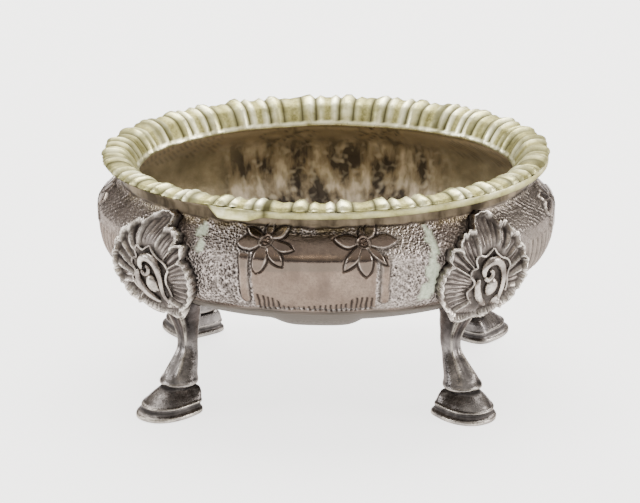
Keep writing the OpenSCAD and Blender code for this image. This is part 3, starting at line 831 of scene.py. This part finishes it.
def makeBorder():
    form = borderPiece
    piece = addRing("gadroon_edge", form["lobes"] * form["perLobe"], form["around"])
    turn, share = ringPlace(readPoints(piece))
    section = np.array(form["section"] + form["section"][:1])
    along = arcAlong(section[:, [0, 0, 1]], 0)
    at = share * along[-1]
    dense = np.linspace(0, along[-1], 400)
    inset, height, weight = (
        np.interp(at, dense, splineThrough(along, section[:, k], dense)) for k in range(3))
    steep = smooth((inset - 3.4) / 2.6) * (height < 1.2)
    count = form["lobes"]
    unit = turn * count / (2 * np.pi) - form["lobeMiddle"]
    number = np.round(unit).astype(int) % count
    rng = np.random.default_rng(8)
    askew, broad, tall = (rng.uniform(*limits, count)[number] for limits in form["uneven"])
    f = (unit + 0.5) % 1 - 0.5
    f = (f - askew * (1 - 2 * np.abs(f))) / (broad + (1 - broad) * (2 * np.abs(f)) ** 2)
    wave = lobeHeight(f) * np.where(np.abs(f) < 0.19, tall, 1)
    sink = form["depth"] * weight * (1 - wave)
    a, b = rimForm["halfLength"] - inset, rimForm["halfWidth"] - inset
    flat = np.column_stack([np.cos(turn) / a, np.sin(turn) / b])
    flat /= np.linalg.norm(flat, axis=1, keepdims=True)
    push = sink * steep * 0.75 - form["scallop"] * (1 - wave) * np.clip(1 - inset / 0.9, 0, 1)
    drop = np.where(inset < 1, smooth((height - 0.05) / 0.5), 1)
    points = np.column_stack([a * np.cos(turn) + flat[:, 0] * push, b * np.sin(turn) + flat[:, 1] * push,
                              rimForm["seatZ"] + height - sink * (1 - 0.6 * steep) * drop])
    points[:, 2] += rimLean(points) + 0.08 * ripple(points, 14, 5)
    writePoints(piece, points)
    top = smooth((weight - 0.15) / 0.3)
    groove = smooth((0.09 - np.abs(np.abs(f) - 0.2)) / 0.03)
    fluted = smooth((np.abs(f) - 0.33) / 0.05)
    lip = smooth((-2.1 - height) / 0.5)         # bright foot of the drop inside the mouth
    deepest = 0.35 * smooth((np.abs(f) - 0.4) / 0.08)
    tips = smooth((np.abs(points[:, 0]) - 30) / 7)        # dirtier at both ends
    dirtied = (0.4 + 0.5 * steep) * deepest + tips * (0.32 + 0.2 * fluted + 0.25 * ripple(points, 4, 61))
    paint(piece, "hollow", top * (1 - lip) * np.maximum(groove, dirtied))
    paint(piece, "flute", top * fluted * (1 - 0.7 * lip))
    # lobe crowns and flute ridges are bright from rubbed gilt and painted highlights; the foot of the drop
    # inside the mouth is painted bright
    crown = np.maximum(0.8 * smooth((0.09 - np.abs(f)) / 0.08), 0.9 * bell((np.abs(f) - 0.3) / 0.04))
    paint(piece, "wear_and_highlight", np.maximum(top * crown * (1 - 0.7 * tips), 0.9 * lip))
    finishPiece(piece, "worn_gilt", ["gadroon_border"])
    print("border cast:", len(piece.data.polygons), "faces")


makeBorder()

# The smooth band under the border
bandPiece = {
    "around": 512, "section": 16,
    "outer": 0.35, "inner": 1.25, "top": -0.06, "bottom": -1.55,
    "bentFrom": -18.2, "bentTo": -8.8, "bentDown": 0.7, "bentOut": 0.4,     # along the front
    "thinFrom": -17.6, "thin": 0.12,        # the front left part shows less
}


def makeBand():
    form = bandPiece
    piece = addRing("rim_strip", form["around"], form["section"])
    turn, share = ringPlace(readPoints(piece))
    angle = share * 2 * np.pi
    squareCos = np.sign(np.cos(angle)) * np.abs(np.cos(angle)) ** 0.55
    squareSin = np.sign(np.sin(angle)) * np.abs(np.sin(angle)) ** 0.75
    inset = (form["outer"] + form["inner"]) / 2 - (form["inner"] - form["outer"]) / 2 * squareCos
    height = (form["top"] + form["bottom"]) / 2 + (form["top"] - form["bottom"]) / 2 * squareSin
    a, b = rimForm["halfLength"] - inset, rimForm["halfWidth"] - inset
    points = np.column_stack([a * np.cos(turn), b * np.sin(turn), rimForm["seatZ"] + height])
    front = points[:, 1] < 0
    thinned = smooth((form["thinFrom"] - points[:, 0]) / 1.5) * front
    points[:, 2] -= (height - form["top"]) * (1 - form["thin"]) * thinned
    fromLeft, fromRight = points[:, 0] - form["bentFrom"], form["bentTo"] - points[:, 0]
    bent = smooth(fromLeft / 1.4) * smooth(fromRight / 3.2) * front
    points[:, 2] -= form["bentDown"] * bent * smooth(-height)
    points[:, 1] -= form["bentOut"] * bent
    points[:, 2] += rimLean(points)
    writePoints(piece, points)
    uneven = ripple(points, 3.5, 51)
    gap = front * bell((fromRight + 0.2) / 1.2)         # right of the bent place
    # the top of the band and the bent facet get painted highlights, with less olive on the facet
    paint(piece, "flute", 0.6 - 0.3 * bent)
    paint(piece, "wear_and_highlight", (0.4 + 0.3 * uneven) * bell((height + 0.3) / 0.3) * (1 - bent)
          + bent * (0.2 + 0.5 * uneven) * smooth((height + 1.1) / 0.3))
    # painted shadow along the lower edge, in the gap right of the bent place and on the hidden front left
    # part, over a light uneven tarnish
    paint(piece, "hollow", np.maximum.reduce([
        (0.08 + 0.35 * smooth((-0.85 - height) / 0.4)) * (1 - bent) + 0.12 * uneven,
        smooth((-1.35 - height) / 0.2), 0.95 * thinned, 0.95 * gap]))
    finishPiece(piece, "worn_gilt", ["rim_band"])
    print("band drawn:", len(piece.data.polygons), "faces")


makeBand()

# The knee shells: one pleated casting for each knee
shellPiece = {
    "around": 330, "backRings": 8, "frontRings": 56, "middle": -6.2,
    # edges between the pleats, in degrees from the top, less than 0 on the side of the panel
    "edges": [-180, -112, -57, -42, -20, 15, 30, 46, 62, 77, 95, 125, 180],
    # outline in millimetres from the middle, by the same degrees
    "outline": [(-180, 5.6), (-150, 6.2), (-125, 7.5), (-110, 8.3), (-99, 9.1), (-90, 9.6), (-81, 10),
                (-73, 10.2), (-60, 10.3), (-50, 10.8), (-38, 10.6), (-28, 10.1), (-20, 10.6), (-12, 11.6),
                (-4, 11.9), (6, 11.5), (13, 10.6), (20, 9.9), (28, 10.2), (36, 9.7), (44, 9.6), (50, 9.8),
                (57, 9.5), (67, 9.6), (75, 9.5), (84, 8.9), (95, 8.1), (110, 7.2), (130, 6.6), (155, 6),
                (180, 5.6)],
    "notch": 1.25,
    "scrollPlace": (0.6, 1.2, 3.9, 5.0),    # flat place for the scroll: middle, half width, half height
    "shift": 1.2,               # towards the nearer end of the bowl
    "lean": 1.8,                # the tip leans to the right
    "standOff": 1.2,            # how far the bottom is drawn away from the wall
}


def pleats(turn):
    # outline, share of the way across a pleat and the pleat's width, by degrees from the top
    form = shellPiece
    edges = np.array(form["edges"])
    outline = np.array(form["outline"])
    number = np.clip(np.searchsorted(edges, turn, side="right") - 1, 0, len(edges) - 2)
    wide = edges[number + 1] - edges[number]
    return np.interp(turn, outline[:, 0], outline[:, 1]), (turn - edges[number]) / wide, wide


def kneeSide(place):
    # which way round the wall the nearer end of the bowl lies
    return 1 if place in ("front_right", "rear_left") else -1


def kneePoint(place, p, q, h):
    form = shellPiece
    p = p + kneeSide(place) * form["shift"] + form["lean"] * smooth((q + 1) / 7)
    return wallPoint(knees[place], p, q, h)


def drawnAway(q):
    return shellPiece["standOff"] * smooth((-q - 2) / 9)


def makeShell(place):
    form = shellPiece
    rings = form["backRings"] + form["frontRings"]
    piece = addBall("pleated_shell_" + place, form["around"], rings)
    turn, ring = ballPlace(readPoints(piece), rings)
    degrees = (np.degrees(turn) * kneeSide(place) + 180) % 360 - 180
    outline, phase, wide = pleats(degrees)
    notch = np.abs(np.sin(np.pi * phase)) ** 0.55
    back = ring < form["backRings"]
    share = np.where(back, ring / form["backRings"], (rings - ring) / form["frontRings"])
    reach = outline - form["notch"] * (1 - notch) + 0.14 * np.sin(np.round(wide / 7) * 2 * np.pi * phase)
    p, q = reach * share * np.sin(turn), reach * share * np.cos(turn) + form["middle"]
    p0, q0, halfWide, halfTall = form["scrollPlace"]
    grow = smooth((np.hypot((p - p0) / halfWide, (q - form["middle"] - q0) / halfTall) - 0.85) / 0.4)
    fromRidge = np.minimum(phase, 1 - phase) * wide     # in degrees
    ridge = np.exp(-(fromRidge / 2.2) ** 2)
    roll = bell((share - 0.945) / 0.06)
    ribs = np.cos(2 * np.pi * np.round(wide / 6) * phase) * smooth((share - 0.3) / 0.2)
    ribs = ribs * (1 - roll) * (1 - ridge)
    hollowed = np.sin(np.pi * phase) * smooth(share / 0.7) * (1 - roll) * np.clip(wide / 22, 0.7, 1.4)
    uneven = ripple(np.column_stack([p, q, 0 * p]), 2.2, 11)
    height = 0.25 + 0.4 * share + 0.7 * ridge * (0.35 + 0.65 * share) - 0.5 * hollowed + 0.13 * ribs
    height = 0.6 + grow * height + (0.5 + 0.4 * notch) * roll + 0.08 * uneven
    height = np.maximum(height, 0.25) * np.sqrt(np.clip((1 - share) / 0.03, 0, 1)) + drawnAway(q)
    points, _ = kneePoint(place, p, q, np.where(back, 0.06, 0.06 + height))
    writePoints(piece, points)
    # painted shade on the back against the wall and on the flat place under the scroll; the valleys and the
    # crease inside the roll are dark from tarnish and shade
    valley = 0.55 * smooth((2.2 - np.abs(fromRidge - 4)) / 2) + 0.75 * smooth(-ribs)
    dark = np.maximum(grow * (1 - roll) * (1 - ridge) * valley, 0.8 * (1 - grow))
    dark = np.maximum(dark, 0.8 * bell((share - 0.885) / 0.035))
    lit = np.clip(0.75 + 0.5 * uneven, 0.2, 1)
    paint(piece, "hollow", np.where(back, 1, dark))
    # the roll and the ridges are bright from wear and painted highlights
    paint(piece, "wear_and_highlight", np.where(back, 0, lit * np.maximum(roll, 0.55 * ridge * grow)))
    finishPiece(piece, "shell_silver", ["knee_shell_" + place])


for kneePlace in knees:
    makeShell(kneePlace)
print("shells cast:", len(knees))

# The knee scrolls: a volute with its arm, a ridge, an oval boss and a bead on each shell
scrollPiece = {
    "seat": 0.72, "tubeSides": 16, "tubeRings": 96, "buttonSides": 36, "buttonRings": 20,
    "arm": [(-1.1, -4.3), (-1.3, -3.3), (-0.7, -2.4), (0.5, -2.0), (1.7, -2.3), (2.6, -3.3), (3.1, -4.7),
            (3.2, -6.2), (3.2, -7.4), (3.6, -8.4)],
    "armRadius": [0.42, 0.58, 0.74, 0.88, 0.85, 0.7, 0.54, 0.44, 0.4, 0.38],
    "curl": [(-1.1, -4.3), (-0.5, -4.8), (0.4, -4.5), (0.6, -3.8), (0.0, -3.4)],
    "curlRadius": [0.42, 0.45, 0.44, 0.4, 0.32],
    "ridge": [(-2.1, -4.4), (-2.4, -5.4), (-2.1, -6.5), (-1.0, -7.8), (1.0, -9.1)],
    "ridgeRadius": [0.4, 0.6, 0.72, 0.66, 0.42],
    "frame": [(0.9, 0.0), (1.6, -1.0), (2.6, -1.8), (4.0, -2.4), (4.8, -3.4), (4.4, -4.2), (4.2, -5.2),
              (4.6, -6.3), (4.8, -7.6)],
    "frameLeft": [(0.9, 0.0), (0.0, -0.6), (-0.9, -1.1), (-2.2, -0.7), (-2.8, -1.4), (-2.5, -2.6),
                  (-3.6, -2.9), (-3.8, -3.8), (-3.0, -4.8), (-3.4, -5.5), (-4.2, -6.1), (-3.8, -7.1),
                  (-2.5, -8.3)],
    "frameRadius": 0.24,
    "boss": (0.8, -6.2, 1.35, 1.5, 1.1),        # place, half width, half height, rise
    "bead": (3.6, -8.8, 1.0, 1.0, 0.75),
    "beadTop": (3.6, -8.8, 0.5, 0.5, 1.25),
}


def kneeTube(place, name, route, radii, lift):
    form = scrollPiece
    route = np.array(route)
    path, normal = kneePoint(place, route[:, 0], route[:, 1], form["seat"] + drawnAway(route[:, 1]) + lift)
    return sweep(name, path, radii, normal, form["tubeSides"], form["tubeRings"])


def kneeButton(place, name, spot):
    p0, q0, wide, tall, rise = spot
    form = scrollPiece
    piece = addBall(name, form["buttonSides"], form["buttonRings"])
    turn, ring = ballPlace(readPoints(piece), form["buttonRings"])
    slope = (ring / form["buttonRings"] - 0.5) * np.pi
    p, q = p0 + wide * np.cos(slope) * np.sin(turn), q0 + tall * np.cos(slope) * np.cos(turn)
    h = form["seat"] + drawnAway(q0) + np.where(slope > 0, rise * np.sin(slope), 0.3 * np.sin(slope))
    points, _ = kneePoint(place, p, q, h)
    writePoints(piece, points)
    return piece


def makeScroll(place):
    form = scrollPiece
    thin = form["frameRadius"]
    parts = [
        kneeTube(place, "arm", form["arm"], form["armRadius"], 0.55),
        kneeTube(place, "curl", form["curl"], form["curlRadius"], 0.5),
        kneeTube(place, "ridge", form["ridge"], form["ridgeRadius"], 0.4),
        kneeTube(place, "frame_right", form["frame"], [thin] * len(form["frame"]), 0.3),
        kneeTube(place, "frame_left", form["frameLeft"], [thin] * len(form["frameLeft"]), 0.3),
        kneeButton(place, "boss", form["boss"]),
        kneeButton(place, "bead", form["bead"]),
        kneeButton(place, "bead_top", form["beadTop"]),
    ]
    piece = joinPieces("knee_scrollwork_" + place, parts)
    paint(piece, "hollow", np.zeros(len(piece.data.vertices)))
    # the scrollwork is lightened unevenly, as wear and painted highlights
    paint(piece, "wear_and_highlight", 0.3 + 0.3 * ripple(readPoints(piece) / mm, 3, 31))
    finishPiece(piece, "shell_silver", ["knee_scroll_" + place])


for kneePlace in knees:
    makeScroll(kneePlace)
print("scrolls cast:", len(knees))

# The cabriole legs, each in one casting with its fetlock, hoof and stepped sole
legPiece = {
    "around": 96, "rings": 150,
    "footInset": 4.4, "toe": 7.4, "heel": 4.1, "soleHalfWidth": 5.1,
    # hoof rows: height, share of the sole, shift outwards, share of the sole at the heel
    "hoof": [(0, 0.94, 0, 0.94), (0.1, 1, 0, 1), (0.65, 1, 0, 1), (0.85, 0.97, 0, 0.98),
             (1.05, 0.89, 0, 0.94), (1.35, 0.84, 0, 0.91), (1.7, 0.84, 0, 0.91), (1.9, 0.88, -0.05, 0.94),
             (2.15, 0.88, -0.05, 0.94), (2.3, 0.82, -0.1, 0.91), (2.9, 0.74, -0.2, 0.88),
             (3.5, 0.64, -0.35, 0.84), (4.1, 0.53, -0.55, 0.76), (4.5, 0.45, -0.7, 0.55)],
    # shaft rows: height, half thickness, half width, shift outwards
    "shaft": [(4.62, 2.85, 2.9, -1.0), (4.8, 3.28, 3.32, -1.05), (5.15, 3.5, 3.5, -1.15),
              (5.5, 3.42, 3.42, -1.3), (5.9, 3.2, 3.2, -1.5), (6.5, 3, 2.98, -1.8), (7.4, 2.75, 2.7, -2.4),
              (8.6, 2.4, 2.3, -3.3), (10.5, 1.85, 1.78, -4.5), (12.5, 1.85, 1.82, -4.9),
              (14.5, 2.12, 2.15, -4.5), (16.5, 2.55, 2.65, -3.7), (18, 2.95, 3.1, -2.9),
              (19.3, 3.4, 3.6, -2.1), (20.5, 3.8, 4.1, -1.5)],
    "hoofTop": 4.5, "capRings": 4, "bendFrom": 16.5, "topZ": 21.2,
    "ribTurn": 30, "ribHalf": 14, "rib": 0.12, "notch": 0.04, "rearRubbedAndLit": 0.45,
    # handwork: shift of the sole, and bend of the shaft along the length of the bowl
    "splay": {"front_left": (-0.4, -1.0), "front_right": (-0.9, 0.2)},
    "sway": {"front_left": -0.8},
}


def underZ(x, y):
    s = bowlForm
    part = np.hypot(x / s["halfLength"], y / s["halfWidth"])
    return s["bellyZ"] - (s["bellyZ"] - s["baseZ"]) * np.clip(1 - part ** s["squareness"], 0, 1) ** (
        1 / s["squareness"])


def makeLeg(place):
    form = legPiece
    k = math.radians(knees[place])
    out = np.array([math.cos(k) / bowlForm["halfLength"], math.sin(k) / bowlForm["halfWidth"]])
    out /= np.linalg.norm(out)
    side = np.array([-out[1], out[0]])
    foot = np.array([bowlForm["halfLength"] * math.cos(k), bowlForm["halfWidth"] * math.sin(k)])
    foot = foot - form["footInset"] * out
    hoof, shaft = np.array(form["hoof"]), np.array(form["shaft"])
    heights = np.concatenate([hoof[:, 0], shaft[:, 0]])
    reach = np.concatenate([hoof[:, 1] * form["toe"], shaft[:, 1]])
    marks = arcAlong(np.column_stack([reach, reach, heights]), 0)
    piece = addBall("cabriole_leg_" + place, form["around"], form["rings"])
    turn, ring = ballPlace(readPoints(piece), form["rings"])
    capRings = form["capRings"]
    at = np.clip((ring - capRings) / (form["rings"] - 2 * capRings), 0, 1) * marks[-1]
    z = np.interp(at, marks, heights)
    atHeel = smooth((0.1 - np.cos(turn)) / 0.6)
    share, hoofShift, heelShare = (np.interp(z, hoof[:, 0], hoof[:, c]) for c in (1, 2, 3))
    share = share + (heelShare - share) * atHeel
    toeSide = np.cos(turn) > 0
    power = np.where(toeSide, 0.9, 0.55)
    hoofU = np.sign(np.cos(turn)) * np.abs(np.cos(turn)) ** power
    hoofU = hoofU * np.where(toeSide, form["toe"], form["heel"])
    hoofV = np.sign(np.sin(turn)) * np.abs(np.sin(turn)) ** power * form["soleHalfWidth"]
    up = np.clip(z, shaft[0, 0], shaft[-1, 0])
    thick, wide, bow = (splineThrough(shaft[:, 0], shaft[:, c], up) for c in (1, 2, 3))
    isShaft = smooth((z - form["hoofTop"]) / 0.12)
    fromFront = np.degrees((turn + np.pi) % (2 * np.pi) - np.pi)
    ribbed = smooth((z - 5.6) / 2.5) * smooth((19.5 - z) / 2)
    rib = bell((np.abs(fromFront) - form["ribTurn"]) / form["ribHalf"]) * ribbed
    groove = bell(fromFront / form["ribHalf"]) * ribbed
    notch = form["notch"] * bell(fromFront / 15) * bell((z - 4.9) / 0.6)
    swell = 1 + form["rib"] * (rib - 0.6 * groove) - notch
    u = (hoofU * share + hoofShift) * (1 - isShaft) + (thick * swell * np.cos(turn) + bow) * isShaft
    v = hoofV * share * (1 - isShaft) + wide * swell * np.sin(turn) * isShaft
    shrink = np.clip(np.minimum(ring, form["rings"] - ring) / capRings, 0, 1)
    middle = np.where(z > 10, shaft[-1, 3], 0)
    u, v = middle + (u - middle) * shrink, v * shrink
    x, y = foot[0] + u * out[0] + v * side[0], foot[1] + u * out[1] + v * side[1]
    splayX, splayY = form["splay"].get(place, (0, 0))
    low = smooth(1 - z / form["hoofTop"])
    x = x + splayX * low + form["sway"].get(place, 0) * bell((z - 12.5) / 7)
    y = y + splayY * low
    roof = np.minimum(underZ(x, y) - 0.06, form["topZ"])
    rise = np.clip((z - form["bendFrom"]) / (heights[-1] - form["bendFrom"]), 0, 1)
    z = np.where(rise > 0, form["bendFrom"] + rise * (roof - form["bendFrom"]), z)
    points = np.column_stack([x, y, z])
    uneven = ripple(points, 4, 17)
    writePoints(piece, points + 0.06 * (uneven * shrink * (z > 0.2))[:, None] * np.array([*out, 0]))
    lit = np.clip(0.7 + 0.5 * uneven, 0.1, 1)
    # the edges of the sole, of the step over it and of the fetlock are rubbed, and they and the ribs get
    # painted highlights
    rubbedAndLit = bell((z - 0.5) / 0.55) + 0.7 * bell((z - 2.05) / 0.3) + 0.65 * bell((z - 5.05) / 0.5)
    rubbedAndLit = rubbedAndLit * (form["rearRubbedAndLit"] if place.startswith("rear") else 1)
    hollow = 0.9 * bell((z - form["hoofTop"]) / 0.3) + 0.85 * bell((z - 1.4) / 0.45) + 0.35 * groove
    paint(piece, "hollow", hollow)
    paint(piece, "wear_and_highlight", lit * (rubbedAndLit + 0.8 * rib ** 2))
    paint(piece, "low", smooth((14.5 - z) / 5))
    finishPiece(piece, "cast_leg_silver", ["leg_" + place])


for kneePlace in knees:
    makeLeg(kneePlace)
print("legs cast:", len(knees))

# Pale floor and studio light
bpy.ops.object.select_all(action="DESELECT")
bpy.ops.mesh.primitive_plane_add(size=6, location=(0, 0, 0))
floor = bpy.context.object
floor.name = "pale_floor"
floorFinish, floorTree, floorShader = newFinish("pale_floor", 0.9, 0)
floorShader.inputs["Base Color"].default_value = (0.35, 0.35, 0.35, 1)
floorShader.inputs["Emission Color"].default_value = (1, 0.985, 0.965, 1)
floorShader.inputs["Emission Strength"].default_value = 2.6
floor.data.materials.append(floorFinish)

world = bpy.data.worlds.new("studio")
bpy.context.scene.world = world
world.use_nodes = True
sky = world.node_tree
heading = put(sky, "ShaderNodeSeparateXYZ", {"Vector": put(sky, "ShaderNodeTexCoord").outputs["Generated"]})
shade = steps(sky, heading.outputs["Z"], [(0.0, (0.2, 0.21, 0.25)), (0.2, (0.3, 0.3, 0.32)),
                                          (0.45, (0.85, 0.78, 0.68)), (0.85, (1.0, 0.98, 0.94))])
sky.links.new(shade, sky.nodes["Background"].inputs["Color"])
sky.nodes["Background"].inputs["Strength"].default_value = 1.35

# lamps: place, width and height in metres, power in watts and tint, all turned to the salt
lamps = {
    "overhead": ((0.0, 0.42, 0.7), 0.8, 0.8, 24, (1, 0.99, 0.96)),
    "right_side": ((0.75, -0.05, 0.3), 0.35, 0.35, 7, (1, 0.97, 0.94)),
    "left_side": ((-0.75, -0.1, 0.35), 0.3, 0.3, 4, (0.97, 0.98, 1)),
    "warm_left": ((-0.071, -0.425, 0.418), 0.075, 0.012, 0.09, (1, 0.84, 0.6)),
    "warm_right": ((0.017, -0.43, 0.418), 0.02, 0.012, 0.03, (1, 0.86, 0.66)),
}


def addLamp(name, place, wide, tall, power, tint):
    bpy.ops.object.light_add(type="AREA", location=place)
    lamp = bpy.context.object
    lamp.name = name
    lamp.rotation_euler = (Vector((0, 0, 0.03)) - Vector(place)).to_track_quat("-Z", "Y").to_euler()
    lamp.data.shape = "RECTANGLE"
    lamp.data.size, lamp.data.size_y = wide, tall
    lamp.data.energy = power
    lamp.data.color = tint


for lampName, values in lamps.items():
    addLamp(lampName, *values)
print("studio ready")
